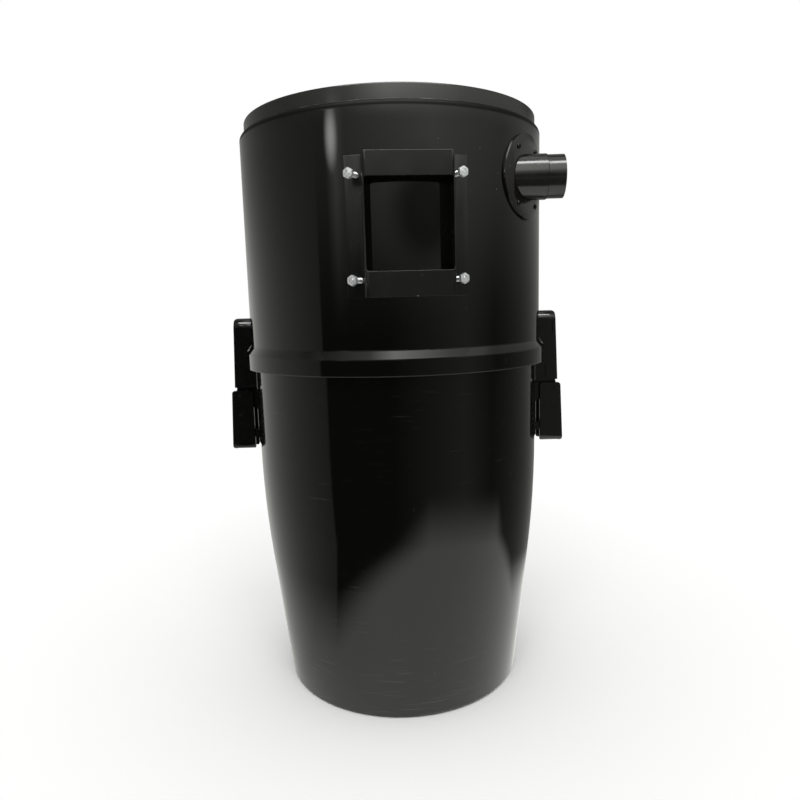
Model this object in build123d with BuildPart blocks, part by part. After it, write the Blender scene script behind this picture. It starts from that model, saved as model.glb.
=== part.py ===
from build123d import *
from math import cos, radians, sin, sqrt, tan
import os

os.makedirs("parts", exist_ok=True)

# Cyclone dust separator for a piped vacuum system: a drum that receives the swirling air,
# a conical bucket latched under it, a side inlet, a top outlet and a wall bracket.
# Millimetres, +Z up. The origin is on the floor under the drum's axis, the bracket faces -Y
# and the two latches stand opposite each other near +X and -X.

# Dust bucket, from the floor up to its rim
bucket_height = 459.0
bucket_inset = 5.2
bucket_taper = 6.45
bucket_knee_drop = 200.0
bucket_knee_radius = 1450.0
bucket_wall = 4.0
bucket_foot_width = 11.0
bucket_corner = 4.0
bucket_rim_height = 10.0
floor_thickness = 5.0

# Seal ring between the bucket's rim and the drum's socket
seal_height = 5.0
seal_inset = 0.5

# Drum: a plain cylinder over a bell-mouthed socket that slips over the bucket's rim
body_radius = 199.5
body_wall = 5.0
body_height = 278.5
body_top_round = 6.0
socket_depth = 20.5
socket_flare = 6.0
socket_gap = 1.0
shoulder_drop = 1.0
shoulder_height = 10.0
shoulder_round = 2.5

# Lid, glued into the drum's top with its skirt standing proud
cover_inset = 6.5
cover_rise = 17.5
cover_plug = 14.0
cover_wall = 4.0
cover_recess = 5.0
cover_round = 2.0

# Pipe fittings: the same 2 inch pipe, socket and flange serve the inlet and the outlet
pipe_radius = 25.4
pipe_wall = 2.0
socket_wall = 1.2
flange_radius = 50.0
flange_thickness = 3.0
fitting_length = 23.0
pipe_overhang = 21.0
inlet_pipe_grip = 18.0
inlet_drop = 71.5
inlet_azimuth = 49.7
inlet_sweep = 32.7
vortex_tube_length = 191.0

# Wall bracket: a hat section of bent sheet with a window cut through its front
bracket_sheet = 2.0
bracket_width = 100.0
bracket_standoff = 18.8
bracket_lift = 68.0
bracket_height = 152.7
bracket_window_bottom = 28.0
bracket_window_height = 98.7
bracket_flange_reach = 18.6
bracket_bend = 4.0
bracket_window_corner = 3.0

# Latches: a base on the bucket, a lever pivoted on its ears and a hook carried by the lever
latch_azimuth = 85.0
latch_width = 30.0
latch_reach = 16.5
latch_drop = 41.5
latch_throw = 27.5
latch_pin_radius = 3.0
latch_pin_play = 0.2
latch_pin_inset = 0.3
cheek_thickness = 4.0
ear_thickness = 4.5
ear_play = 1.0
ear_radius = 6.5
tongue_thickness = 8.0
tongue_radius = 5.5
base_thickness = 2.5
base_drop = 73.0
base_chamfer = 6.0
base_ear_root = 27.5
stop_drop = 49.0
stop_height = 12.0
stop_gap = 1.0
lever_drop = 77.5
lever_clearance = 6.2
lever_cover = 10.0
lever_slant = 3.5
lever_web = 5.0
lever_web_drop = 20.0
lever_corner = 4.0
lever_crown = 8.0
hook_rise = 36.6
hook_gap = 4.7
hook_cover = 5.6
hook_slant = 3.6
hook_fit = 1.0
hook_ring_fit = 1.8
hook_foot_fit = 2.7
hook_foot_gap = 3.0
hook_corner = 4.0
hook_crown = 13.0
gusset_drop = 30.0
pocket_depth = 1.5
pocket_rim = 3.5
pocket_corner = 2.0

# Heights and radii that follow from the sizes above
seal_seat = bucket_height + seal_height
body_top = seal_seat + body_height
body_bore = body_radius - body_wall
socket_radius = body_radius + socket_flare
socket_bore = socket_radius - body_wall
socket_bottom = seal_seat - socket_depth
shoulder_bottom = seal_seat - shoulder_drop
shoulder_top = shoulder_bottom + shoulder_height
bucket_rim_radius = socket_bore - socket_gap
bucket_radius = body_radius - bucket_inset
bucket_knee = bucket_height - bucket_knee_drop
bucket_base_radius = bucket_radius - bucket_knee * tan(radians(bucket_taper))
floor_radius = bucket_base_radius - bucket_wall - bucket_foot_width
cover_radius = body_radius - cover_inset
cover_top = body_top + cover_rise
cover_panel_top = cover_top - cover_recess
cover_panel_bottom = cover_panel_top - cover_wall
fitting_radius = pipe_radius + socket_wall
pipe_bore = pipe_radius - pipe_wall


def bucket_bore(height):
    """Inner radius of the bucket's cone at a height near its base."""
    return bucket_base_radius - bucket_wall + height * tan(radians(bucket_taper))


def rims(part, radius, height):
    """Circular edges of a turned piece at one radius and height."""
    return [
        edge
        for edge in part.edges().filter_by(GeomType.CIRCLE)
        if abs(edge.radius - radius) < 0.01 and abs(edge.arc_center.Z - height) < 0.01
    ]


# Inlet places: the flange is centred where the swept pipe's axis meets the drum
inlet_radial = Vector(sin(radians(inlet_azimuth)), -cos(radians(inlet_azimuth)), 0)
inlet_height = body_top - inlet_drop
inlet_bearing = inlet_azimuth + inlet_sweep
inlet_axis = Vector(sin(radians(inlet_bearing)), -cos(radians(inlet_bearing)), 0)
inlet_centre = inlet_radial * body_radius + Vector(0, 0, inlet_height)
flange_plane = Plane(origin=(0, 0, inlet_height), x_dir=(0, 0, 1), z_dir=inlet_radial)
inlet_plane = Plane(origin=inlet_centre, x_dir=(0, 0, 1), z_dir=inlet_axis)
inlet_reach = 2 * pipe_radius

# Dust bucket: straight below the rim, then a long blend into a cone, open at both ends
with BuildPart() as dust_bucket:
    with BuildSketch(Plane.XZ):
        with BuildLine():
            FilletPolyline(
                (bucket_base_radius, 0),
                (bucket_radius, bucket_knee),
                (bucket_radius, bucket_height - bucket_rim_height),
                radius=bucket_knee_radius,
            )
            Polyline(
                (bucket_radius, bucket_height - bucket_rim_height),
                (bucket_rim_radius, bucket_height - bucket_rim_height),
                (bucket_rim_radius, bucket_height),
                (bucket_radius - bucket_wall, bucket_height),
            )
            FilletPolyline(
                (bucket_radius - bucket_wall, bucket_height),
                (bucket_radius - bucket_wall, bucket_knee),
                (bucket_bore(floor_thickness), floor_thickness),
                radius=bucket_knee_radius,
            )
            Polyline(
                (bucket_bore(floor_thickness), floor_thickness),
                (floor_radius, floor_thickness),
                (floor_radius, 0),
                (bucket_base_radius, 0),
            )
        make_face()
    revolve(axis=Axis.Z)
    fillet(rims(dust_bucket, bucket_base_radius, 0), radius=bucket_corner)
dust_bucket.part.label = "dust_bucket"
export_step(dust_bucket.part, "parts/dust_bucket.step")

# Bucket floor: a plain disc that closes the bucket inside its turned-in foot
with BuildPart() as bucket_floor:
    with BuildSketch(Plane.XY):
        Circle(floor_radius)
    extrude(amount=floor_thickness)
bucket_floor.part.label = "bucket_floor"
export_step(bucket_floor.part, "parts/bucket_floor.step")

# Seal ring, squeezed between the bucket's rim and the seat inside the socket
with BuildPart() as bucket_seal:
    with BuildSketch(Plane.XY.offset(bucket_height)):
        Circle(bucket_rim_radius)
        Circle(body_bore + seal_inset, mode=Mode.SUBTRACT)
    extrude(amount=seal_height)
bucket_seal.part.label = "bucket_seal"
export_step(bucket_seal.part, "parts/bucket_seal.step")

# Drum: socket, sloping shoulder, plain wall, and a rim that closes in on the lid
with BuildPart() as upper_body:
    with BuildSketch(Plane.XZ):
        with BuildLine():
            Polyline(
                (socket_bore, socket_bottom),
                (socket_radius, socket_bottom),
                (socket_radius, shoulder_bottom),
                (body_radius, shoulder_top),
                (body_radius, body_top),
                (cover_radius, body_top),
                (cover_radius, body_top - cover_plug),
                (body_bore, body_top - cover_plug),
                (body_bore, seal_seat),
                (socket_bore, seal_seat),
                close=True,
            )
        make_face()
    revolve(axis=Axis.Z)
    fillet(rims(upper_body, body_radius, body_top), radius=body_top_round)
    fillet(rims(upper_body, socket_radius, shoulder_bottom), radius=shoulder_round)
    fillet(rims(upper_body, body_radius, shoulder_top), radius=shoulder_round)
    with BuildSketch(inlet_plane):
        Circle(fitting_radius)
    extrude(amount=inlet_reach, both=True, mode=Mode.SUBTRACT)
upper_body.part.label = "upper_body"
export_step(upper_body.part, "parts/upper_body.step")

# Lid: a skirt with a panel sunk a little below its top edge
with BuildPart() as top_cover:
    with BuildSketch(Plane.XZ):
        with BuildLine():
            Polyline(
                (fitting_radius, cover_panel_bottom),
                (cover_radius - cover_wall, cover_panel_bottom),
                (cover_radius - cover_wall, body_top - cover_plug),
                (cover_radius, body_top - cover_plug),
                (cover_radius, cover_top),
                (cover_radius - cover_wall, cover_top),
                (cover_radius - cover_wall, cover_panel_top),
                (fitting_radius, cover_panel_top),
                close=True,
            )
        make_face()
    revolve(axis=Axis.Z)
    fillet(rims(top_cover, cover_radius, cover_top), radius=cover_round)
top_cover.part.label = "top_cover"
export_step(top_cover.part, "parts/top_cover.step")

# Outlet: flange on the lid, short socket, and the pipe that runs down as the vortex tube
with BuildPart() as outlet_flange:
    with BuildSketch(Plane.XY.offset(cover_panel_top)):
        Circle(flange_radius)
        Circle(fitting_radius, mode=Mode.SUBTRACT)
    extrude(amount=flange_thickness)
outlet_flange.part.label = "outlet_flange"
export_step(outlet_flange.part, "parts/outlet_flange.step")

with BuildPart() as outlet_socket:
    with BuildSketch(Plane.XY.offset(cover_panel_bottom)):
        Circle(fitting_radius)
        Circle(pipe_radius, mode=Mode.SUBTRACT)
    extrude(amount=cover_wall + fitting_length)
outlet_socket.part.label = "outlet_socket"
export_step(outlet_socket.part, "parts/outlet_socket.step")

outlet_top = cover_panel_top + fitting_length + pipe_overhang
vortex_tube_bottom = cover_panel_bottom - vortex_tube_length
with BuildPart() as outlet_pipe:
    with BuildSketch(Plane.XY.offset(vortex_tube_bottom)):
        Circle(pipe_radius)
        Circle(pipe_bore, mode=Mode.SUBTRACT)
    extrude(amount=outlet_top - vortex_tube_bottom)
outlet_pipe.part.label = "outlet_pipe"
export_step(outlet_pipe.part, "parts/outlet_pipe.step")

# Inlet flange: a round saddle that follows the drum
with BuildPart() as inlet_flange:
    with BuildSketch(Plane.XY.offset(inlet_height - 2 * flange_radius)):
        Circle(body_radius + flange_thickness)
        Circle(body_radius, mode=Mode.SUBTRACT)
    extrude(amount=4 * flange_radius)
    with BuildSketch(flange_plane):
        Circle(flange_radius)
    extrude(amount=2 * body_radius, mode=Mode.INTERSECT)
    with BuildSketch(inlet_plane):
        Circle(fitting_radius)
    extrude(amount=inlet_reach, both=True, mode=Mode.SUBTRACT)
inlet_flange.part.label = "inlet_flange"
export_step(inlet_flange.part, "parts/inlet_flange.step")

# Inlet socket: a swept tube that ends flush with the inside of the drum
with BuildPart() as inlet_socket:
    with BuildSketch(inlet_plane.offset(-inlet_reach)):
        Circle(fitting_radius)
        Circle(pipe_radius, mode=Mode.SUBTRACT)
    extrude(amount=inlet_reach + fitting_length)
    with BuildSketch(Plane.XY.offset(seal_seat)):
        Circle(body_bore)
    extrude(amount=body_height, mode=Mode.SUBTRACT)
inlet_socket.part.label = "inlet_socket"
export_step(inlet_socket.part, "parts/inlet_socket.step")

with BuildPart() as inlet_pipe:
    with BuildSketch(inlet_plane.offset(fitting_length - inlet_pipe_grip)):
        Circle(pipe_radius)
        Circle(pipe_bore, mode=Mode.SUBTRACT)
    extrude(amount=inlet_pipe_grip + pipe_overhang)
inlet_pipe.part.label = "inlet_pipe"
export_step(inlet_pipe.part, "parts/inlet_pipe.step")

# Wall bracket: front plate, two side walls and two flanges that follow the drum
bracket_front = body_radius + bracket_standoff
bracket_bottom = seal_seat + bracket_lift
bracket_half = bracket_width / 2
bracket_wall_root = sqrt(body_radius**2 - bracket_half**2) - bracket_sheet
with BuildPart() as wall_bracket:
    with BuildSketch(Plane.XY.offset(bracket_bottom)):
        with Locations((0, -bracket_front / 2)):
            Rectangle(2 * (bracket_half + bracket_flange_reach), bracket_front)
        Circle(body_radius + bracket_sheet, mode=Mode.INTERSECT)
        with Locations((0, -(bracket_front + bracket_wall_root) / 2)):
            hat = Rectangle(bracket_width, bracket_front - bracket_wall_root)
        fillet(hat.vertices().group_by(Axis.Y)[0], radius=bracket_bend)
        with Locations((0, bracket_sheet - bracket_front / 2)):
            RectangleRounded(
                bracket_width - 2 * bracket_sheet,
                bracket_front,
                bracket_bend - bracket_sheet,
                mode=Mode.SUBTRACT,
            )
        Circle(body_radius, mode=Mode.SUBTRACT)
    extrude(amount=bracket_height)
    window_middle = bracket_bottom + bracket_window_bottom + bracket_window_height / 2
    with BuildSketch(Plane.XZ.offset(bracket_front)):
        with Locations((0, window_middle)):
            RectangleRounded(
                bracket_width - 2 * bracket_sheet, bracket_window_height, bracket_window_corner
            )
    extrude(amount=-2 * bracket_sheet, mode=Mode.SUBTRACT)
wall_bracket.part.label = "wall_bracket"
export_step(wall_bracket.part, "parts/wall_bracket.step")

# Latch sizes shared by the pieces of both latches
latch_pivot_radius = socket_radius + latch_reach
latch_pivot_height = socket_bottom - latch_drop
base_face = bucket_radius + base_thickness
base_bottom = latch_pivot_height - base_drop
lever_inner = base_face + lever_clearance
lever_outer = latch_pivot_radius + lever_cover
lever_top = latch_pivot_height + ear_radius
lever_bottom = latch_pivot_height - lever_drop
stop_face = lever_inner - stop_gap
stop_top = latch_pivot_height - stop_drop
stop_bottom = stop_top - stop_height
cheek_inside = latch_width / 2 - cheek_thickness
ear_outside = cheek_inside - ear_play
ear_inside = ear_outside - ear_thickness
hook_pin_height = latch_pivot_height - latch_throw
hook_bottom = lever_top + hook_gap
hook_top = shoulder_top + hook_rise
hook_back = body_radius + hook_fit
hook_front = latch_pivot_radius + hook_cover - hook_slant
hook_notch = socket_radius + hook_ring_fit
hook_foot = bucket_radius + hook_foot_fit
hook_foot_top = socket_bottom - hook_foot_gap
hook_foot_middle = (hook_foot_top + hook_bottom) / 2
hook_lip = shoulder_top + hook_fit
pocket_middle = (hook_lip + pocket_rim + hook_top - hook_crown) / 2

for side_name, bearing in (("right", latch_azimuth), ("left", latch_azimuth - 180)):
    # Section plane of one latch: outward from the drum and up, with the latch centred on it
    outward = Vector(sin(radians(bearing)), -cos(radians(bearing)), 0)
    latch_plane = Plane(origin=(0, 0, 0), x_dir=outward, z_dir=outward.cross(Vector(0, 0, 1)))
    face_plane = Plane(origin=(0, 0, 0), x_dir=Vector(0, 0, 1).cross(outward), z_dir=outward)

    # Base: a plate that follows the bucket, a bar the lever closes against and two pivot ears
    with BuildPart() as latch_base:
        with BuildSketch(latch_plane):
            with BuildLine():
                Polyline(
                    (bucket_base_radius, base_bottom),
                    (bucket_radius, base_bottom),
                    (base_face, base_bottom + base_chamfer),
                    (base_face, stop_bottom),
                    (stop_face, stop_bottom),
                    (stop_face, stop_top),
                    (base_face, stop_top),
                    (base_face, lever_top),
                    (bucket_base_radius, lever_top),
                    close=True,
                )
            make_face()
        extrude(amount=latch_width / 2, both=True)
        for ear_start in (ear_inside, -ear_outside):
            with BuildSketch(latch_plane.offset(ear_start)):
                with BuildLine():
                    Polyline(
                        (base_face, lever_top),
                        (latch_pivot_radius, lever_top),
                        (latch_pivot_radius, latch_pivot_height - ear_radius),
                        (base_face, lever_top - base_ear_root),
                        close=True,
                    )
                make_face()
                with Locations((latch_pivot_radius, latch_pivot_height)):
                    Circle(ear_radius)
                    Circle(latch_pin_radius, mode=Mode.SUBTRACT)
            extrude(amount=ear_thickness)
        with BuildSketch(Plane.XY):
            Circle(bucket_radius)
        extrude(amount=bucket_height, mode=Mode.SUBTRACT)
    latch_base.part.label = f"{side_name}_latch_base"
    export_step(latch_base.part, f"parts/{side_name}_latch_base.step")

    # Lever: two cheeks joined by a web below the hook's pin, where the hand grips
    with BuildPart() as latch_lever:
        with BuildSketch(latch_plane) as lever_section:
            with BuildLine():
                FilletPolyline(
                    (lever_inner, lever_top),
                    (lever_inner, lever_bottom),
                    (lever_outer + lever_slant, lever_bottom),
                    (lever_outer, lever_top),
                    radius=lever_corner,
                    close=True,
                )
            make_face()
        extrude(amount=latch_width / 2, both=True)
        with BuildSketch(face_plane):
            with Locations((0, (lever_top + lever_bottom) / 2)):
                grip = Rectangle(latch_width, lever_top - lever_bottom)
            fillet(grip.vertices().group_by(Axis.Y)[0], radius=lever_crown)
        extrude(amount=2 * latch_pivot_radius, mode=Mode.INTERSECT)
        with BuildSketch(latch_plane):
            with BuildLine():
                Polyline(
                    (lever_inner - lever_corner, lever_bottom - lever_corner),
                    (lever_outer + lever_slant - lever_web, lever_bottom - lever_corner),
                    (lever_outer + lever_slant - lever_web, hook_pin_height - lever_web_drop),
                    (lever_outer + lever_slant, hook_pin_height - lever_web_drop),
                    (lever_outer + lever_slant, lever_top + lever_corner),
                    (lever_inner - lever_corner, lever_top + lever_corner),
                    close=True,
                )
            make_face()
        extrude(amount=cheek_inside, both=True, mode=Mode.SUBTRACT)
        with BuildSketch(latch_plane):
            with Locations((latch_pivot_radius, latch_pivot_height)):
                Circle(latch_pin_radius + latch_pin_play)
            with Locations((latch_pivot_radius, hook_pin_height)):
                Circle(latch_pin_radius)
        extrude(amount=latch_width, both=True, mode=Mode.SUBTRACT)
    latch_lever.part.label = f"{side_name}_latch_lever"
    export_step(latch_lever.part, f"parts/{side_name}_latch_lever.step")

    # Hook: reaches up past the socket, bears on the shoulder, and hangs on a gusseted tongue.
    # Both sides have a pocket in the head and one in the foot, as in a coring for even walls
    with BuildPart() as latch_hook:
        with BuildSketch(latch_plane):
            with BuildLine():
                Polyline(
                    (hook_foot, hook_bottom),
                    (hook_foot, hook_foot_top),
                    (hook_notch, hook_foot_top),
                    (hook_notch, shoulder_bottom + hook_fit),
                    (hook_back, hook_lip),
                    (hook_back, hook_top),
                    (hook_front, hook_top),
                    (hook_front + hook_slant, hook_bottom),
                    close=True,
                )
            hook_outline = make_face()
            top_corners = hook_outline.vertices().group_by(Axis.Y)[-1]
            fillet(top_corners.sort_by(Axis.X)[-1], radius=hook_corner)
        extrude(amount=latch_width / 2, both=True)
        with BuildSketch(face_plane):
            with Locations((0, (hook_top + hook_bottom) / 2)):
                head = Rectangle(latch_width, hook_top - hook_bottom)
            fillet(head.vertices().group_by(Axis.Y)[-1], radius=hook_crown)
        extrude(amount=2 * latch_pivot_radius, mode=Mode.INTERSECT)
        with BuildSketch(latch_plane):
            with Locations((latch_pivot_radius, hook_pin_height)):
                Circle(tongue_radius)
            with Locations((latch_pivot_radius, (hook_pin_height + hook_bottom) / 2)):
                Rectangle(2 * tongue_radius, hook_bottom - hook_pin_height)
            with BuildLine():
                Polyline(
                    (hook_foot, hook_bottom),
                    (latch_pivot_radius - tongue_radius, hook_bottom - gusset_drop),
                    (latch_pivot_radius, hook_bottom),
                    close=True,
                )
            make_face()
        extrude(amount=tongue_thickness / 2, both=True)
        with BuildSketch(latch_plane):
            with Locations((latch_pivot_radius, hook_pin_height)):
                Circle(latch_pin_radius + latch_pin_play)
        extrude(amount=latch_width, both=True, mode=Mode.SUBTRACT)
        for pocket_start in (latch_width / 2 - pocket_depth, -latch_width / 2):
            with BuildSketch(latch_plane.offset(pocket_start)):
                with Locations(((hook_back + hook_front) / 2, pocket_middle)):
                    RectangleRounded(
                        hook_front - hook_back - 2 * pocket_rim,
                        hook_top - hook_crown - hook_lip - pocket_rim,
                        pocket_corner,
                    )
                with Locations(((hook_foot + hook_notch) / 2 + pocket_rim, hook_foot_middle)):
                    RectangleRounded(
                        hook_notch - hook_foot,
                        hook_foot_top - hook_bottom - 2 * pocket_rim,
                        pocket_corner,
                    )
            extrude(amount=pocket_depth, mode=Mode.SUBTRACT)
    latch_hook.part.label = f"{side_name}_latch_hook"
    export_step(latch_hook.part, f"parts/{side_name}_latch_hook.step")

    # Pins: two stubs carry the lever on the ears and leave the middle free for the tongue
    pin_end = latch_width / 2 - latch_pin_inset
    end_names = ("front", "rear") if outward.X > 0 else ("rear", "front")
    for end_name, pin_start in zip(end_names, (ear_inside, -pin_end)):
        with BuildPart() as pivot_pin:
            with BuildSketch(latch_plane.offset(pin_start)):
                with Locations((latch_pivot_radius, latch_pivot_height)):
                    Circle(latch_pin_radius)
            extrude(amount=pin_end - ear_inside)
        pivot_pin.part.label = f"{side_name}_{end_name}_pivot_pin"
        export_step(pivot_pin.part, f"parts/{side_name}_{end_name}_pivot_pin.step")

    with BuildPart() as hook_pin:
        with BuildSketch(latch_plane):
            with Locations((latch_pivot_radius, hook_pin_height)):
                Circle(latch_pin_radius)
        extrude(amount=pin_end, both=True)
    hook_pin.part.label = f"{side_name}_hook_pin"
    export_step(hook_pin.part, f"parts/{side_name}_hook_pin.step")
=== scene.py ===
from math import cos, pi, radians, tan, tau

import bmesh
import bpy
from mathutils import Matrix, Vector, noise


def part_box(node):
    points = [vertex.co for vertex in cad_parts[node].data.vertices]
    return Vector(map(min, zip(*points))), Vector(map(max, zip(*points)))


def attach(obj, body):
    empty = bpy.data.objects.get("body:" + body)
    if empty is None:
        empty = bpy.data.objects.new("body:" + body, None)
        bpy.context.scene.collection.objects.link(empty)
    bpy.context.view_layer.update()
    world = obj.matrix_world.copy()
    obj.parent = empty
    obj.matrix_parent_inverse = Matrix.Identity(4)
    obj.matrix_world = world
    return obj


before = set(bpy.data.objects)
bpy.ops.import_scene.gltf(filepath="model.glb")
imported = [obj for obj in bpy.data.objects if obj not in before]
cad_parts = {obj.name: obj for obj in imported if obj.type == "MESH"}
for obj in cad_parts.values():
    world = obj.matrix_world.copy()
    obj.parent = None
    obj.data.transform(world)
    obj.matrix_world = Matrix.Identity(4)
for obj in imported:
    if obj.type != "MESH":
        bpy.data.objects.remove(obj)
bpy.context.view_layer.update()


# Dust bucket: one deep injection moulding in black polypropylene, straight below the rim and then
# a long cone, closed by a moulded floor. It is lifted off and knocked out at every emptying.

def linear(hex_colour):
    """Turns an sRGB hex colour into the linear RGBA that the shaders take."""
    channels = [int(hex_colour[i:i + 2], 16) / 255 for i in (1, 3, 5)]
    return [c / 12.92 if c <= 0.04045 else ((c + 0.055) / 1.055) ** 2.4 for c in channels] + [1.0]


def add(tree, kind, inputs, **settings):
    """Adds a node with its settings. An input takes a value, a socket or another node's output."""
    node = tree.nodes.new(kind)
    for name, value in settings.items():
        setattr(node, name, value)
    for name, value in inputs.items():
        if isinstance(value, bpy.types.Node):
            value = next(socket for socket in value.outputs if socket.enabled)
        if isinstance(value, bpy.types.NodeSocket):
            tree.links.new(value, node.inputs[name])
        else:
            node.inputs[name].default_value = value
    return node


def new_material(name):
    """Starts an empty material, and gives it back with its node tree and its Object coordinates."""
    material = bpy.data.materials.new(name)
    material.use_nodes = True
    material.node_tree.nodes.clear()
    place = add(material.node_tree, "ShaderNodeTexCoord", {}).outputs["Object"]
    return material, material.node_tree, place


def dress(material, *nodes):
    """Gives CAD nodes their finish."""
    for node in nodes:
        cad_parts[node].data.materials.clear()
        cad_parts[node].data.materials.append(material)


mm = 0.001

# Polypropylene comes out of a polished mould with a soft gloss. The deep wall cools unevenly, so
# reflections wave a little along it, and the lower cone carries level scuffs. Here and on the other
# pieces the grains of dust are drawn coarser than they are, so that they show.
bucket_plastic, tree, place = new_material("moulded_polypropylene")
tall = add(tree, "ShaderNodeMapping", {"Vector": place, "Scale": (1, 1, 0.35)})
waves = add(tree, "ShaderNodeTexNoise", {"Vector": tall, "Scale": 1 / (120 * mm), "Detail": 1})
wall = add(tree, "ShaderNodeBump", {"Height": waves, "Distance": 0.22 * mm})
level = add(tree, "ShaderNodeMapping", {"Vector": place, "Scale": (1, 1, 30)})
streaks = add(tree, "ShaderNodeTexNoise", {"Vector": level, "Scale": 1 / (45 * mm), "Detail": 4})
height = add(tree, "ShaderNodeSeparateXYZ", {"Vector": place})
low = add(tree, "ShaderNodeMapRange", {
    "Value": height.outputs["Z"], "From Min": 170 * mm, "From Max": 20 * mm, "To Max": 0.09})
scuffed = add(tree, "ShaderNodeMath", {0: streaks, 1: low}, operation="ADD")
scuff = add(tree, "ShaderNodeMapRange", {"Value": scuffed, "From Min": 0.66, "From Max": 0.8})
cloudy = add(tree, "ShaderNodeTexNoise", {"Vector": place, "Scale": 1 / (60 * mm), "Detail": 5})
gloss = add(tree, "ShaderNodeMapRange", {
    "Value": cloudy, "From Min": 0.35, "From Max": 0.7, "To Min": 0.05, "To Max": 0.1})
rubbed = add(tree, "ShaderNodeMix", {"Factor": scuff, "A": gloss, "B": 0.34})
grains = add(tree, "ShaderNodeTexVoronoi", {"Vector": place, "Scale": 1 / (11 * mm)})
grain = add(tree, "ShaderNodeMapRange", {"Value": grains, "From Min": 0.05, "From Max": 0.02})
settled = add(tree, "ShaderNodeMapRange", {"Value": cloudy, "From Min": 0.5, "From Max": 0.62})
dust = add(tree, "ShaderNodeMath", {0: grain, 1: settled}, operation="MULTIPLY")
mark = add(tree, "ShaderNodeMath", {0: scuff, 1: 0.12, 2: dust}, operation="MULTIPLY_ADD")
tint = add(tree, "ShaderNodeMix", {
    "Factor": mark, "A": linear("#060605"), "B": linear("#77776f")}, data_type="RGBA")
skin = add(tree, "ShaderNodeBsdfPrincipled", {
    "Base Color": tint, "Roughness": rubbed, "IOR": 1.49, "Normal": wall})
add(tree, "ShaderNodeOutputMaterial", {"Surface": skin})
dress(bucket_plastic, "dust_bucket", "bucket_floor")


# Seal: a black rubber ring of square section that lies on the bucket's rim and is pressed into
# the drum's socket when the latches are closed.

# Moulded rubber is matt, with pale bloom and a fine grain that is drawn coarser so that it shows.
seal_rubber, tree, place = new_material("nitrile_rubber")
pores = add(tree, "ShaderNodeTexNoise", {"Vector": place, "Scale": 1 / (1.2 * mm), "Detail": 3})
surface = add(tree, "ShaderNodeBump", {"Height": pores, "Distance": 0.08 * mm})
bloom = add(tree, "ShaderNodeTexNoise", {"Vector": place, "Scale": 1 / (25 * mm), "Detail": 4})
tint = add(tree, "ShaderNodeMix", {
    "Factor": bloom, "A": linear("#121211"), "B": linear("#22221f")}, data_type="RGBA")
skin = add(tree, "ShaderNodeBsdfPrincipled", {
    "Base Color": tint, "Roughness": 0.6, "IOR": 1.52, "Normal": surface})
add(tree, "ShaderNodeOutputMaterial", {"Surface": skin})
dress(seal_rubber, "bucket_seal")


# Drum and lid: a length of large extruded black PVC pipe whose lower end was heated and belled into
# a socket. The lid is turned from the same PVC and glued into the upper end.

# Extruded PVC has a hard gloss with long slow waves and faint lines along the pipe, from the die,
# which are drawn coarser than they are so that they show. Its sawn upper edge was scraped round and
# is matt. A thin grey band along the socket's lip is a painted highlight, for the light its edge
# catches.
drum_plastic, tree, place = new_material("extruded_pvc")
tall = add(tree, "ShaderNodeMapping", {"Vector": place, "Scale": (1, 1, 0.25)})
waves = add(tree, "ShaderNodeTexNoise", {"Vector": tall, "Scale": 1 / (110 * mm), "Detail": 1})
wall = add(tree, "ShaderNodeBump", {"Height": waves, "Distance": 0.2 * mm})
drawn = add(tree, "ShaderNodeMapping", {"Vector": place, "Scale": (1, 1, 0.02)})
lines = add(tree, "ShaderNodeTexNoise", {"Vector": drawn, "Scale": 1 / (9 * mm), "Detail": 2})
die_lines = add(tree, "ShaderNodeBump", {"Height": lines, "Distance": 0.006 * mm, "Normal": wall})
cloudy = add(tree, "ShaderNodeTexNoise", {"Vector": place, "Scale": 1 / (60 * mm), "Detail": 6})
gloss = add(tree, "ShaderNodeMapRange", {
    "Value": cloudy, "From Min": 0.35, "From Max": 0.7, "To Min": 0.03, "To Max": 0.07})
grains = add(tree, "ShaderNodeTexVoronoi", {"Vector": place, "Scale": 1 / (11 * mm)})
grain = add(tree, "ShaderNodeMapRange", {"Value": grains, "From Min": 0.05, "From Max": 0.02})
settled = add(tree, "ShaderNodeMapRange", {"Value": cloudy, "From Min": 0.5, "From Max": 0.62})
dust = add(tree, "ShaderNodeMath", {0: grain, 1: settled}, operation="MULTIPLY")
height = add(tree, "ShaderNodeSeparateXYZ", {"Vector": place})
lip_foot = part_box("upper_body")[0][2]
# Painted highlight: a thin grey band just above the foot of the socket's lip.
highlight_starts = lip_foot + 1.5 * mm
highlight_full = lip_foot + 0.7 * mm
lip_highlight = add(tree, "ShaderNodeMapRange", {
    "Value": height.outputs["Z"], "From Min": highlight_starts, "From Max": highlight_full, "To Max": 0.12})
mark = add(tree, "ShaderNodeMath", {0: dust, 1: lip_highlight}, operation="ADD")
tint = add(tree, "ShaderNodeMix", {
    "Factor": mark, "A": linear("#060605"), "B": linear("#77776f")}, data_type="RGBA")
drum_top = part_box("upper_body")[1][2]
scrape_starts = drum_top - 8.5 * mm
scrape_full = drum_top - 6.5 * mm
scraped = add(tree, "ShaderNodeMapRange", {
    "Value": height.outputs["Z"], "From Min": scrape_starts, "From Max": scrape_full})
finish = add(tree, "ShaderNodeMix", {"Factor": scraped, "A": gloss, "B": 0.5})
shine = add(tree, "ShaderNodeMix", {"Factor": scraped, "A": 0.5, "B": 0.12})
skin = add(tree, "ShaderNodeBsdfPrincipled", {
    "Base Color": tint, "Roughness": finish, "IOR": 1.52, "Specular IOR Level": shine,
    "Normal": die_lines})
add(tree, "ShaderNodeOutputMaterial", {"Surface": skin})
dress(drum_plastic, "upper_body")

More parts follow.
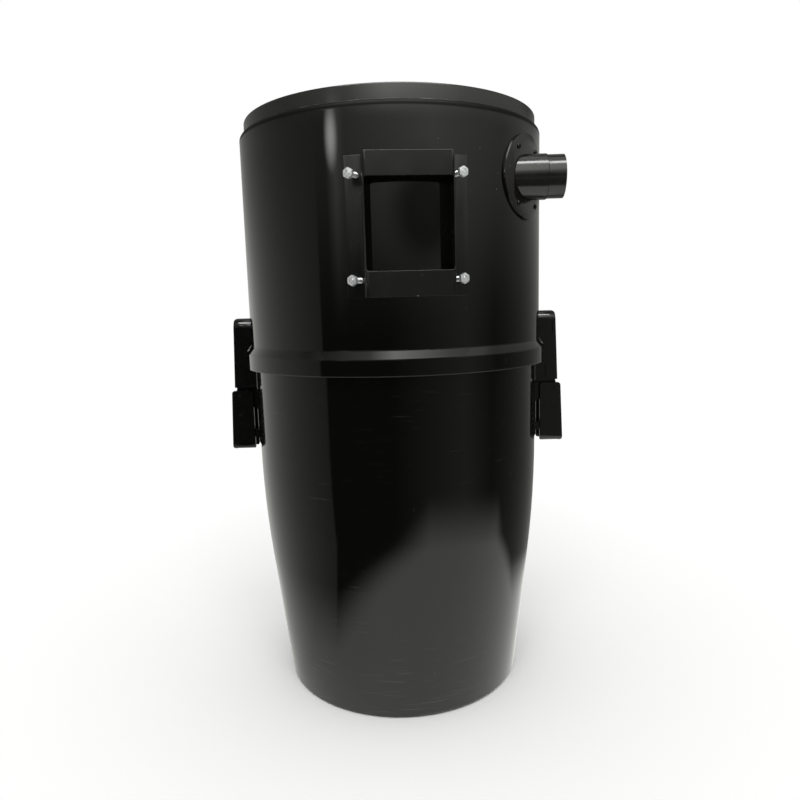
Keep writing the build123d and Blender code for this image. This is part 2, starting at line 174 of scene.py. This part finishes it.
# The lid's turned skirt is duller and a shade greyer than the pipe. The rings left by the tool are
# drawn coarser than they are, so that they show.
lid_plastic, tree, place = new_material("turned_pvc")
level = add(tree, "ShaderNodeMapping", {"Vector": place, "Scale": (0.02, 0.02, 1)})
rings = add(tree, "ShaderNodeTexNoise", {"Vector": level, "Scale": 1 / (1.6 * mm), "Detail": 2})
turned = add(tree, "ShaderNodeBump", {"Height": rings, "Distance": 0.02 * mm})
cloudy = add(tree, "ShaderNodeTexNoise", {"Vector": place, "Scale": 1 / (60 * mm), "Detail": 6})
gloss = add(tree, "ShaderNodeMapRange", {
    "Value": cloudy, "From Min": 0.35, "From Max": 0.7, "To Min": 0.13, "To Max": 0.22})
tint = add(tree, "ShaderNodeMix", {
    "Factor": cloudy, "A": linear("#141413"), "B": linear("#20201d")}, data_type="RGBA")
skin = add(tree, "ShaderNodeBsdfPrincipled", {
    "Base Color": tint, "Roughness": gloss, "IOR": 1.52, "Normal": turned})
add(tree, "ShaderNodeOutputMaterial", {"Surface": skin})
dress(lid_plastic, "top_cover")


# Lid seam: the thin uneven bead of solvent cement that was pressed out between the drum's rounded
# end and the lid's skirt, and dried there.

def new_piece(name, mesh, body, slot, *materials):
    """Makes a bmesh a smooth-shaded piece that rides on a body and takes the given materials. The slot
    is not used.
    """
    data = bpy.data.meshes.new(name)
    mesh.to_mesh(data)
    mesh.free()
    data.shade_smooth()
    data.set_sharp_from_angle(angle=radians(35))
    for material in materials:
        data.materials.append(material)
    piece = bpy.data.objects.new(name, data)
    bpy.context.scene.collection.objects.link(piece)
    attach(piece, body)
    return piece


# Solvent cement dries dull and dark, with pale scraps where it was wiped off.
cement, tree, place = new_material("dried_solvent_cement")
ragged = add(tree, "ShaderNodeTexNoise", {"Vector": place, "Scale": 1 / (14 * mm), "Detail": 4})
pale = add(tree, "ShaderNodeMapRange", {"Value": ragged, "From Min": 0.52, "From Max": 0.68})
tint = add(tree, "ShaderNodeMix", {
    "Factor": pale, "A": linear("#161614"), "B": linear("#6a6a62")}, data_type="RGBA")
skin = add(tree, "ShaderNodeBsdfPrincipled", {"Base Color": tint, "Roughness": 0.4, "IOR": 1.5})
add(tree, "ShaderNodeOutputMaterial", {"Surface": skin})


lump_height = 0.35 * mm
lump_spacing = 9 * mm


def cement_bead(radius, thickness, steps, stand):
    """Makes an uneven bead of cement round the Z axis of its stand."""
    bead = bmesh.new()
    bmesh.ops.create_circle(
        bead, segments=8, radius=thickness / 2,
        matrix=Matrix.Translation((radius, 0, 0)) @ Matrix.Rotation(pi / 2, 4, "X"))
    bmesh.ops.spin(bead, geom=bead.verts[:] + bead.edges[:], cent=(0, 0, 0), axis=(0, 0, 1),
                   dvec=(0, 0, 0), angle=tau, steps=steps, use_merge=True)
    bmesh.ops.remove_doubles(bead, verts=bead.verts[:], dist=0.01 * mm)
    for vert in bead.verts:
        vert.co.z += lump_height * noise.noise(vert.co / lump_spacing)
    bmesh.ops.recalc_face_normals(bead, faces=bead.faces[:])
    bmesh.ops.transform(bead, matrix=stand, verts=bead.verts[:])
    return bead


lid_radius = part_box("top_cover")[1][0]
seam_radius = lid_radius + 0.2 * mm
seam_thickness = 1.8 * mm
seam_steps = 360
seam_height = drum_top - 0.3 * mm
seam_stand = Matrix.Translation((0, 0, seam_height))
new_piece("lid_seam", cement_bead(seam_radius, seam_thickness, seam_steps, seam_stand),
          "separator", "drum_plastic", cement)


# Inlet and outlet fittings: short lengths of 2 inch PVC pipe glued into moulded sockets, on flanges
# that are screwed to the drum and to the lid.

# Pipe PVC is glossy and slightly rippled. Handling leaves it cloudy, and grains of dust lie on it.
fitting_plastic, tree, place = new_material("pipe_pvc")
ripple = add(tree, "ShaderNodeTexNoise", {"Vector": place, "Scale": 1 / (30 * mm), "Detail": 2})
wall = add(tree, "ShaderNodeBump", {"Height": ripple, "Distance": 0.12 * mm})
cloudy = add(tree, "ShaderNodeTexNoise", {"Vector": place, "Scale": 1 / (12 * mm), "Detail": 6})
gloss = add(tree, "ShaderNodeMapRange", {
    "Value": cloudy, "From Min": 0.35, "From Max": 0.7, "To Min": 0.1, "To Max": 0.24})
grains = add(tree, "ShaderNodeTexVoronoi", {"Vector": place, "Scale": 1 / (8 * mm)})
grain = add(tree, "ShaderNodeMapRange", {"Value": grains, "From Min": 0.07, "From Max": 0.03})
settled = add(tree, "ShaderNodeMapRange", {"Value": cloudy, "From Min": 0.52, "From Max": 0.62})
dust = add(tree, "ShaderNodeMath", {0: grain, 1: settled}, operation="MULTIPLY")
tint = add(tree, "ShaderNodeMix", {
    "Factor": dust, "A": linear("#0e0d0c"), "B": linear("#86867e")}, data_type="RGBA")
skin = add(tree, "ShaderNodeBsdfPrincipled", {
    "Base Color": tint, "Roughness": gloss, "IOR": 1.54, "Normal": wall})
add(tree, "ShaderNodeOutputMaterial", {"Surface": skin})
dress(fitting_plastic, "inlet_flange", "inlet_socket", "inlet_pipe",
      "outlet_flange", "outlet_socket", "outlet_pipe")


def round_edges(node, width):
    """Breaks a CAD node's sharp edges, so that they catch the light as moulded or cut edges do."""
    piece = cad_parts[node]
    weld = piece.modifiers.new("weld", "WELD")
    weld.merge_threshold = 0.005 * mm
    edges = piece.modifiers.new("round_edges", "BEVEL")
    edges.width = width
    edges.segments = 3
    edges.limit_method = "ANGLE"
    edges.angle_limit = radians(35)
    edges.harden_normals = True


flange_rounding = 0.7 * mm
for fitting in ("inlet_flange", "outlet_flange"):
    round_edges(fitting, flange_rounding)


# Joint beads: a thin dark ring round each pipe where it enters its socket, shaped as a bead of
# cement. It is painted shade, standing for the dark line of shade in the joint.

# Matt near-black, painted shade: it draws the dark line of shade round the pipe at its socket.
joint_painted_shade, tree, place = new_material("black_joint_painted_shade")
ragged = add(tree, "ShaderNodeTexNoise", {"Vector": place, "Scale": 1 / (5 * mm), "Detail": 4})
tint = add(tree, "ShaderNodeMix", {
    "Factor": ragged, "A": linear("#030303"), "B": linear("#11110f")}, data_type="RGBA")
rough = add(tree, "ShaderNodeMapRange", {"Value": ragged, "To Min": 0.6, "To Max": 0.9})
skin = add(tree, "ShaderNodeBsdfPrincipled", {
    "Base Color": tint, "Roughness": rough, "IOR": 1.5, "Specular IOR Level": 0.15})
add(tree, "ShaderNodeOutputMaterial", {"Surface": skin})

pipe_radius = 25.4 * mm
joint_radius = pipe_radius + 0.5 * mm
joint_thickness = 1.4 * mm
joint_steps = 120
socket_length = 23 * mm
drum_radius = 199.5 * mm
inlet_azimuth = radians(49.7)
inlet_bearing = radians(82.4)
inlet_height = 671 * mm
inlet_mouth = (
    Matrix.Rotation(inlet_azimuth, 4, "Z") @ Matrix.Translation((0, -drum_radius, inlet_height))
    @ Matrix.Rotation(inlet_bearing - inlet_azimuth, 4, "Z") @ Matrix.Rotation(pi / 2, 4, "X")
    @ Matrix.Translation((0, 0, socket_length)))
outlet_mouth = Matrix.Translation((0, 0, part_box("outlet_socket")[1][2]))
# The beads put painted shade round the joints of the inlet and outlet pipes.
for name, mouth in (("inlet_joint_shade_bead", inlet_mouth), ("outlet_joint_shade_bead", outlet_mouth)):
    new_piece(name, cement_bead(joint_radius, joint_thickness, joint_steps, mouth),
              "separator", "pipe_plastic", joint_painted_shade)


# Flange screws: four steel button-head screws with hexagon sockets hold each flange. Their heads are
# cold formed and blackened, and stand proud of the flange.

# Black oxide on steel is dark and oily, with a soft metal shine.
black_steel, tree, place = new_material("black_oxide_steel")
cloudy = add(tree, "ShaderNodeTexNoise", {"Vector": place, "Scale": 1 / (2 * mm), "Detail": 3})
gloss = add(tree, "ShaderNodeMapRange", {"Value": cloudy, "To Min": 0.22, "To Max": 0.42})
tint = add(tree, "ShaderNodeMix", {
    "Factor": cloudy, "A": linear("#1c1c1b"), "B": linear("#2f2e2c")}, data_type="RGBA")
skin = add(tree, "ShaderNodeBsdfPrincipled", {
    "Base Color": tint, "Roughness": gloss, "Metallic": 0.8})
add(tree, "ShaderNodeOutputMaterial", {"Surface": skin})


def button_heads(radius, height, key, stands):
    """Makes button heads with hexagon sockets, each standing along the Z axis of one of the stands."""
    sunk = 0.3 * mm
    socket_depth = 0.7 * height
    heads = bmesh.new()
    crown = [heads.verts.new((out, 0, up)) for out, up in (
        (radius, -sunk), (radius, height * 0.2), (radius * 0.93, height * 0.5),
        (radius * 0.78, height * 0.8), (radius * 0.55, height))]
    arc = [heads.edges.new(pair) for pair in zip(crown, crown[1:])]
    bmesh.ops.spin(heads, geom=crown + arc, cent=(0, 0, 0), axis=(0, 0, 1), dvec=(0, 0, 0),
                   angle=tau, steps=24, use_merge=True)
    bmesh.ops.remove_doubles(heads, verts=heads.verts[:], dist=0.001 * mm)
    mouth = [edge for edge in heads.edges if edge.is_boundary and edge.verts[0].co.z > height * 0.9]
    hexagon = bmesh.ops.create_circle(heads, segments=6, radius=key / 2 / cos(pi / 6),
                                      matrix=Matrix.Translation((0, 0, height)))["verts"]
    key_edges = list({edge for vert in hexagon for edge in vert.link_edges})
    bmesh.ops.bridge_loops(heads, edges=mouth + key_edges)
    socket = bmesh.ops.extrude_edge_only(heads, edges=key_edges)["geom"]
    bmesh.ops.translate(heads, vec=(0, 0, -socket_depth),
                        verts=[item for item in socket if isinstance(item, bmesh.types.BMVert)])
    bmesh.ops.holes_fill(heads, edges=heads.edges[:], sides=0)
    bmesh.ops.recalc_face_normals(heads, faces=heads.faces[:])
    first = heads.verts[:]
    for stand in stands:
        copy = bmesh.ops.duplicate(heads, geom=first + list({e for v in first for e in v.link_edges})
                                   + list({f for v in first for f in v.link_faces}))["geom"]
        bmesh.ops.transform(heads, matrix=stand,
                            verts=[item for item in copy if isinstance(item, bmesh.types.BMVert)])
    bmesh.ops.delete(heads, geom=first, context="VERTS")
    return heads


screw_radius = 3.2 * mm
screw_height = 1.8 * mm
screw_key = 2.5 * mm
flange_thickness = 3 * mm
saddle_radius = drum_radius + flange_thickness
screw_across = 23.5 * mm
screw_up = 32.3 * mm
inlet_stands = [
    Matrix.Rotation(inlet_azimuth + across / saddle_radius, 4, "Z")
    @ Matrix.Translation((0, -saddle_radius, inlet_height + up)) @ Matrix.Rotation(pi / 2, 4, "X")
    for across in (-screw_across, screw_across) for up in (-screw_up, screw_up)]
new_piece("inlet_screws", button_heads(screw_radius, screw_height, screw_key, inlet_stands),
          "separator", "pin_steel", black_steel)

lid_flange_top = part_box("outlet_flange")[1][2]
screw_circle = 39 * mm
outlet_stands = [
    Matrix.Rotation(tau / 8 + quarter * tau / 4, 4, "Z")
    @ Matrix.Translation((screw_circle, 0, lid_flange_top))
    for quarter in range(4)]
new_piece("outlet_screws", button_heads(screw_radius, screw_height, screw_key, outlet_stands),
          "separator", "pin_steel", black_steel)


# Wall bracket: a hat section bent from 2 mm steel sheet with a laser-cut window, powder coated in
# satin black. It is bolted to the drum through its two side flanges.

# Powder coat is satin with a fine orange peel, and grains of dust lie on it.
bracket_paint, tree, place = new_material("powder_coated_steel")
peel = add(tree, "ShaderNodeTexNoise", {"Vector": place, "Scale": 1 / (1.6 * mm), "Detail": 2})
coat = add(tree, "ShaderNodeBump", {"Height": peel, "Distance": 0.03 * mm})
cloudy = add(tree, "ShaderNodeTexNoise", {"Vector": place, "Scale": 1 / (30 * mm), "Detail": 6})
gloss = add(tree, "ShaderNodeMapRange", {
    "Value": cloudy, "From Min": 0.35, "From Max": 0.7, "To Min": 0.2, "To Max": 0.3})
grains = add(tree, "ShaderNodeTexVoronoi", {"Vector": place, "Scale": 1 / (9 * mm)})
grain = add(tree, "ShaderNodeMapRange", {"Value": grains, "From Min": 0.07, "From Max": 0.03})
settled = add(tree, "ShaderNodeMapRange", {"Value": cloudy, "From Min": 0.52, "From Max": 0.62})
dust = add(tree, "ShaderNodeMath", {0: grain, 1: settled}, operation="MULTIPLY")
tint = add(tree, "ShaderNodeMix", {
    "Factor": dust, "A": linear("#0c0c0b"), "B": linear("#96968d")}, data_type="RGBA")
skin = add(tree, "ShaderNodeBsdfPrincipled", {
    "Base Color": tint, "Roughness": gloss, "IOR": 1.5, "Normal": coat})
add(tree, "ShaderNodeOutputMaterial", {"Surface": skin})
dress(bracket_paint, "wall_bracket")
sheet_rounding = 0.5 * mm
round_edges("wall_bracket", sheet_rounding)


# Bracket studs: four M6 zinc-plated studs that stand out of the drum through the bracket's flanges,
# each with a nut at its end. They stand a little splayed, the left ones more.

# Zinc plate on rolled and cut steel: bright, a little blue, with cloudy patches.
zinc, tree, place = new_material("zinc_plated_steel")
cloudy = add(tree, "ShaderNodeTexNoise", {"Vector": place, "Scale": 1 / (3 * mm), "Detail": 4})
gloss = add(tree, "ShaderNodeMapRange", {
    "Value": cloudy, "From Min": 0.35, "From Max": 0.7, "To Min": 0.2, "To Max": 0.4})
tint = add(tree, "ShaderNodeMix", {
    "Factor": cloudy, "A": linear("#e6e8e8"), "B": linear("#c4c6c6")}, data_type="RGBA")
skin = add(tree, "ShaderNodeBsdfPrincipled", {
    "Base Color": tint, "Roughness": gloss, "Metallic": 0.65})
add(tree, "ShaderNodeOutputMaterial", {"Surface": skin})


def add_nut(mesh, across_flats, height, bore, foot):
    """Adds a hexagon nut on the Z axis, chamfered above and below, that stands on foot."""
    chamfer_radius = across_flats / 2 * 0.97
    chamfer_slope = tan(radians(30))
    face_radius = across_flats / 2 * 0.94
    corner = across_flats / 2 / cos(pi / 6)
    made = bmesh.ops.create_circle(mesh, segments=6, radius=corner,
                                   matrix=Matrix.Translation((0, 0, foot)))
    ring = list({edge for vert in made["verts"] for edge in vert.link_edges})
    cut = bmesh.ops.subdivide_edges(mesh, edges=ring, cuts=5)
    lower = list(set(ring) | {e for e in cut["geom"] if isinstance(e, bmesh.types.BMEdge)})
    sides = bmesh.ops.extrude_edge_only(mesh, edges=lower)["geom"]
    upper = [edge for edge in sides if isinstance(edge, bmesh.types.BMEdge)
             and all(vert in sides for vert in edge.verts)]
    upper_verts = {vert for edge in upper for vert in edge.verts}
    bmesh.ops.translate(mesh, verts=list(upper_verts), vec=(0, 0, height))
    lower_verts = {vert for edge in lower for vert in edge.verts}
    for verts, way in ((upper_verts, -1), (lower_verts, 1)):
        for vert in verts:
            beyond = vert.co.xy.length - chamfer_radius
            vert.co.z += way * beyond * chamfer_slope
    for edges, level in ((upper, foot + height), (lower, foot)):
        for radius in (face_radius, bore):
            inner = bmesh.ops.extrude_edge_only(mesh, edges=edges)["geom"]
            verts = [item for item in inner if isinstance(item, bmesh.types.BMVert)]
            edges = [edge for edge in inner if isinstance(edge, bmesh.types.BMEdge)
                     and all(vert in verts for vert in edge.verts)]
            for vert in verts:
                vert.co = (vert.co.xy.normalized() * radius).to_3d() + Vector((0, 0, level))


stud_radius = 3 * mm
stud_root = 0.82 * stud_radius
stud_point = 0.7 * stud_radius
point_height = 0.8 * mm
nut_bore = 0.9 * stud_radius
stud_pitch = 1 * mm
stud_length = 20.5 * mm
nut_flats = 10.5 * mm
nut_height = 5 * mm
thread_steps = 16
for name, azimuth, height, lean in (("upper_left", -15.7, 663.2, -16), ("upper_right", 15.3, 663.4, 7),
                                    ("lower_left", -15.2, 551.0, -21), ("lower_right", 15.3, 550.5, 7)):
    stud = bmesh.new()
    flank = [stud.verts.new((radius, 0, rise)) for radius, rise in (
        (stud_root, 0), (stud_radius, stud_pitch / 2), (stud_root, stud_pitch))]
    tooth = [stud.edges.new(pair) for pair in zip(flank, flank[1:])]
    turns = round(stud_length / stud_pitch)
    bmesh.ops.spin(stud, geom=flank + tooth, cent=(0, 0, 0), axis=(0, 0, 1),
                   dvec=(0, 0, stud_pitch / thread_steps), angle=tau * turns,
                   steps=thread_steps * turns, use_merge=False)
    bmesh.ops.remove_doubles(stud, verts=stud.verts[:], dist=0.02 * mm)
    add_nut(stud, nut_flats, nut_height, nut_bore, stud_length - nut_height)
    bmesh.ops.create_cone(
        stud, cap_ends=True, segments=24, radius1=nut_bore, radius2=stud_point,
        depth=point_height, matrix=Matrix.Translation((0, 0, stud_length)))
    bmesh.ops.recalc_face_normals(stud, faces=stud.faces[:])
    stand = Matrix.Translation((0, -drum_radius, height * mm)) @ Matrix.Rotation(radians(lean), 4, "Z")
    bmesh.ops.transform(
        stud, verts=stud.verts[:],
        matrix=Matrix.Rotation(radians(azimuth), 4, "Z") @ stand @ Matrix.Rotation(pi / 2, 4, "X"))
    new_piece(f"bracket_stud_{name}", stud, "separator", "pin_steel", zinc)


# Latches: over-centre toggle clips. The base is riveted to the bucket, the lever swings on two
# pivot pins, and the hook on the lever's pin pulls the drum's shoulder down. Moulded in black nylon.

# Nylon from a polished mould is deep black and glossy, with a faint ripple and cloudy handling marks.
latch_nylon, tree, place = new_material("moulded_nylon")
ripple = add(tree, "ShaderNodeTexNoise", {"Vector": place, "Scale": 1 / (14 * mm), "Detail": 2})
wall = add(tree, "ShaderNodeBump", {"Height": ripple, "Distance": 0.05 * mm})
cloudy = add(tree, "ShaderNodeTexNoise", {"Vector": place, "Scale": 1 / (12 * mm), "Detail": 6})
gloss = add(tree, "ShaderNodeMapRange", {
    "Value": cloudy, "From Min": 0.35, "From Max": 0.7, "To Min": 0.05, "To Max": 0.14})
tint = add(tree, "ShaderNodeMix", {
    "Factor": cloudy, "A": linear("#060606"), "B": linear("#0c0c0b")}, data_type="RGBA")
skin = add(tree, "ShaderNodeBsdfPrincipled", {
    "Base Color": tint, "Roughness": gloss, "IOR": 1.53, "Normal": wall})
add(tree, "ShaderNodeOutputMaterial", {"Surface": skin})
moulded_rounding = 0.9 * mm
for side in ("right", "left"):
    dress(latch_nylon, f"{side}_latch_base", f"{side}_latch_lever", f"{side}_latch_hook")
    dress(black_steel, f"{side}_front_pivot_pin", f"{side}_rear_pivot_pin", f"{side}_hook_pin")
    for moulding in ("latch_base", "latch_lever", "latch_hook"):
        round_edges(f"{side}_{moulding}", moulded_rounding)


# Latch rivets: two blackened steel rivets hold each latch base to the bucket. Their low domed heads
# are set against the base's face, one each side of its middle.
rivet_radius = 3.2 * mm
rivet_flatness = 0.5
rivet_across = 8 * mm
rivet_height = 366 * mm
base_face = 196.8 * mm
for side, bearing in (("right", radians(85)), ("left", radians(-95))):
    rivets = bmesh.new()
    for across in (-rivet_across, rivet_across):
        dome = Matrix.Diagonal((1, rivet_flatness, 1, 1))
        stand = Matrix.Translation((across, -base_face, rivet_height)) @ dome
        bmesh.ops.create_uvsphere(rivets, u_segments=24, v_segments=12, radius=rivet_radius,
                                  matrix=Matrix.Rotation(bearing, 4, "Z") @ stand)
    new_piece(f"{side}_latch_rivets", rivets, "separator", "pin_steel", black_steel)


# Floor: a plain pale studio floor that runs out to white, so that only the soft shadow under the
# object shows on it.
floor_radius = 30.0
floor_mesh = bmesh.new()
bmesh.ops.create_circle(floor_mesh, cap_ends=True, segments=96, radius=floor_radius)
floor_data = bpy.data.meshes.new("floor")
floor_mesh.to_mesh(floor_data)
floor_mesh.free()
floor = bpy.data.objects.new("floor", floor_data)
bpy.context.scene.collection.objects.link(floor)

# Matt white paint shows only the shadow, and a trace of grey near the object.
floor_paint, tree, place = new_material("matt_studio_floor")
reach = add(tree, "ShaderNodeVectorMath", {0: place}, operation="LENGTH")
away = add(tree, "ShaderNodeMapRange", {
    "Value": reach.outputs["Value"], "From Min": 0.3, "From Max": 1.2}, interpolation_type="SMOOTHSTEP")
tint = add(tree, "ShaderNodeMix", {
    "Factor": away, "A": linear("#fafaf9"), "B": linear("#ffffff")}, data_type="RGBA")
matt = add(tree, "ShaderNodeBsdfDiffuse", {"Color": tint})
add(tree, "ShaderNodeOutputMaterial", {"Surface": matt})
floor.data.materials.append(floor_paint)


# Studio: an even white room that lights the object softly from all sides. At a strength of 1 the
# background is white and the colours come out as they are written.
world = bpy.data.worlds.new("white_studio")
world.use_nodes = True
world.node_tree.nodes["Background"].inputs["Color"].default_value = (1, 1, 1, 1)
world.node_tree.nodes["Background"].inputs["Strength"].default_value = 1.0
bpy.context.scene.world = world


# Cards: a round of grey and white cards that is seen only in the object's gloss, as black gloss
# would otherwise mirror nothing but the white room. A white sheet lies on the floor round the
# object, a wall of cards stands round that, and a canopy open at the top hangs over the wall.
card_turns = 160
sheet_inside = 0.162
sheet_lift = 0.003
wall_radius = 0.62
wall_top = 0.95
canopy_radius = 1.7
canopy_foot = 1.35
canopy_top = 2.6
skylight = 0.75
card_mesh = bmesh.new()
profile = [card_mesh.verts.new((0, -out, up)) for out, up in (
    (sheet_inside, sheet_lift), (wall_radius, sheet_lift), (wall_radius, wall_top),
    (canopy_radius, canopy_foot), (canopy_radius, canopy_top), (skylight, canopy_top))]
runs = [card_mesh.edges.new(pair) for pair in zip(profile, profile[1:])]
bmesh.ops.spin(card_mesh, geom=profile + runs, cent=(0, 0, 0), axis=(0, 0, 1), dvec=(0, 0, 0),
               angle=tau, steps=card_turns, use_merge=True)
card_data = bpy.data.meshes.new("cards")
card_mesh.to_mesh(card_data)
card_mesh.free()
cards = bpy.data.objects.new("cards", card_data)
bpy.context.scene.collection.objects.link(cards)

# The paper gives off its own light, in greys that change round the object, so that the gloss shows
# broad bands with soft edges.
card_paper, tree, place = new_material("card_paper")
spot = add(tree, "ShaderNodeSeparateXYZ", {"Vector": place})
behind = add(tree, "ShaderNodeMath", {0: spot.outputs["Y"], 1: -1.0}, operation="MULTIPLY")
angle = add(tree, "ShaderNodeMath", {0: spot.outputs["X"], 1: behind}, operation="ARCTAN2")
turn = add(tree, "ShaderNodeMapRange", {"Value": angle, "From Min": -pi, "From Max": pi})
flat = add(tree, "ShaderNodeMapping", {"Vector": place, "Scale": (1, 1, 0)})
reach = add(tree, "ShaderNodeVectorMath", {0: flat}, operation="LENGTH")
climb = add(tree, "ShaderNodeMath", {
    0: reach.outputs["Value"], 1: spot.outputs["Z"]}, operation="ADD")
# Greys by azimuth in degrees, with the front at 0: the foot of the wall, its top, the canopy, the
# white sheet, and how far out from the object the sheet reaches.
greys = {}
for name, stops in (
        ("foot", ((-180, 0.4), (-130, 0.75), (-52, 0.2), (-51, 0.02), (-8, 0.02), (40, 0.2), (62, 0.05),
                  (180, 0.4))),
        ("top", ((-180, 0.4), (-44, 0.2), (-38, 0.8), (-32, 0.4), (20, 0.8), (70, 0.35), (180, 0.4))),
        ("canopy", ((-180, 0.4), (-75, 0.15), (-30, 0.7), (-6, 3.0), (45, 1.0), (110, 0.1), (180, 0.4))),
        ("white", ((-180, 1.1), (-110, 0.7), (-70, 0.7), (-20, 1.1), (180, 1.1))),
        ("sheet", ((-180, 0.45), (-50, 0.33), (15, 0.68), (70, 0.66), (90, 0.4), (180, 0.45)))):
    greys[name] = add(tree, "ShaderNodeValToRGB", {"Fac": turn})
    ramp = greys[name].color_ramp
    for azimuth, grey in stops[1:-1]:
        ramp.elements.new((azimuth + 180) / 360)
    for stop, (azimuth, grey) in zip(ramp.elements, stops):
        stop.color = (grey, grey, grey, 1)
rise = add(tree, "ShaderNodeMapRange", {
    "Value": spot.outputs["Z"], "From Min": 0.45, "From Max": 0.85}, interpolation_type="SMOOTHSTEP")
wall = add(tree, "ShaderNodeMix", {
    "Factor": rise, "A": greys["foot"], "B": greys["top"]}, data_type="RGBA")


def reach_from(x, y, z, squeeze):
    """Gives the distance from a place on the cards, with heights scaled by squeeze."""
    moved = add(tree, "ShaderNodeMapping", {
        "Vector": place, "Location": (-x, -y, -z * squeeze), "Scale": (1, 1, squeeze)})
    return add(tree, "ShaderNodeVectorMath", {0: moved}, operation="LENGTH").outputs["Value"]


# A soft dark patch in front, right of the middle, where the wall has less light on it.
shade = add(tree, "ShaderNodeMapRange", {
    "Value": reach_from(0.16, -0.6, 0.68, 2.5), "From Min": 0.1, "From Max": 0.3, "To Min": 0.25},
    interpolation_type="SMOOTHSTEP")
shaded = add(tree, "ShaderNodeVectorMath", {0: wall, "Scale": shade}, operation="SCALE")
hung = add(tree, "ShaderNodeMapRange", {
    "Value": spot.outputs["Z"], "From Min": 0.83, "From Max": 0.9}, interpolation_type="SMOOTHSTEP")
upright = add(tree, "ShaderNodeMix", {
    "Factor": hung, "A": shaded, "B": greys["canopy"]}, data_type="RGBA")
# A small lit card at the upper left gives the short bright smear near the drum's top.
lit = add(tree, "ShaderNodeMapRange", {
    "Value": reach_from(-0.4, -0.475, 0.81, 0.8), "From Min": 0.055, "From Max": 0.005},
    interpolation_type="SMOOTHSTEP")
lit_grey = (5.0, 5.0, 5.0, 1.0)
accented = add(tree, "ShaderNodeMix", {
    "Factor": lit, "A": upright, "B": lit_grey}, data_type="RGBA")
beyond = add(tree, "ShaderNodeMath", {0: climb, 1: greys["sheet"]}, operation="SUBTRACT")
stands = add(tree, "ShaderNodeMapRange", {
    "Value": beyond, "From Min": -0.1, "From Max": 0.1}, interpolation_type="SMOOTHSTEP")
tone = add(tree, "ShaderNodeMix", {
    "Factor": stands, "A": greys["white"], "B": accented}, data_type="RGBA")
warm = add(tree, "ShaderNodeMix", {
    "Factor": 1.0, "A": tone, "B": linear("#fffffa")}, data_type="RGBA", blend_type="MULTIPLY")
glow = add(tree, "ShaderNodeEmission", {"Color": warm})
add(tree, "ShaderNodeOutputMaterial", {"Surface": glow})
cards.data.materials.append(card_paper)


# Overhead panel: a long bright strip that hangs above the front of the object. It is seen only in the
# gloss too, and draws the bright lines along the pipe and on the latches.
panel_place = (0, -0.8, 2.3)
panel_half_length = 1.0
panel_half_width = 0.2
panel_strength = 14.0
panel_mesh = bmesh.new()
bmesh.ops.create_grid(
    panel_mesh, x_segments=1, y_segments=1, size=1.0,
    matrix=Matrix.Translation(panel_place)
    @ Matrix.Diagonal((panel_half_length, panel_half_width, 1, 1)))
panel_data = bpy.data.meshes.new("overhead_panel")
panel_mesh.to_mesh(panel_data)
panel_mesh.free()
panel = bpy.data.objects.new("overhead_panel", panel_data)
bpy.context.scene.collection.objects.link(panel)

# The panel is evenly lit, and so bright that sharply curved shapes still show it as a white line.
panel_light, tree, place = new_material("lit_panel")
glow = add(tree, "ShaderNodeEmission", {"Strength": panel_strength})
add(tree, "ShaderNodeOutputMaterial", {"Surface": glow})
panel.data.materials.append(panel_light)
for card in (cards, panel):
    card.visible_camera = False
    card.visible_diffuse = False
    card.visible_shadow = False
    card.visible_transmission = False


# Lamp: a softbox above the camera, for a little soft light from the front. It doesn't show in the
# gloss, where the cards stand for it.
softbox_aim = Vector((0, 0, 0.45))
softbox_data = bpy.data.lights.new("softbox", "AREA")
softbox_data.shape = "RECTANGLE"
softbox_data.size = 0.6
softbox_data.size_y = 0.5
softbox_data.energy = 6.0
softbox = bpy.data.objects.new("softbox", softbox_data)
softbox.location = (-0.05, -0.85, 1.75)
softbox.rotation_euler = (softbox_aim - softbox.location).to_track_quat("-Z", "Y").to_euler()
softbox.visible_glossy = False
bpy.context.scene.collection.objects.link(softbox)


# Camera: at the height of the bracket's lower edge, close to the object and a little to its left,
# tilted down and slightly rolled, as it was fitted to the photograph.
camera_place = (-0.0836, -0.9364, 0.5267)
camera_data = bpy.data.cameras.new("camera")
camera_data.sensor_width = 36.0
camera_data.lens = 29.706
camera = bpy.data.objects.new("camera", camera_data)
heading = Matrix.Rotation(radians(-5.38), 4, "Z")
tilt = Matrix.Rotation(radians(90 - 8.448), 4, "X")
roll = Matrix.Rotation(radians(-1.55), 4, "Z")
camera.matrix_world = Matrix.Translation(camera_place) @ heading @ tilt @ roll
bpy.context.scene.collection.objects.link(camera)
bpy.context.scene.camera = camera
bpy.context.scene.view_settings.view_transform = "Standard"
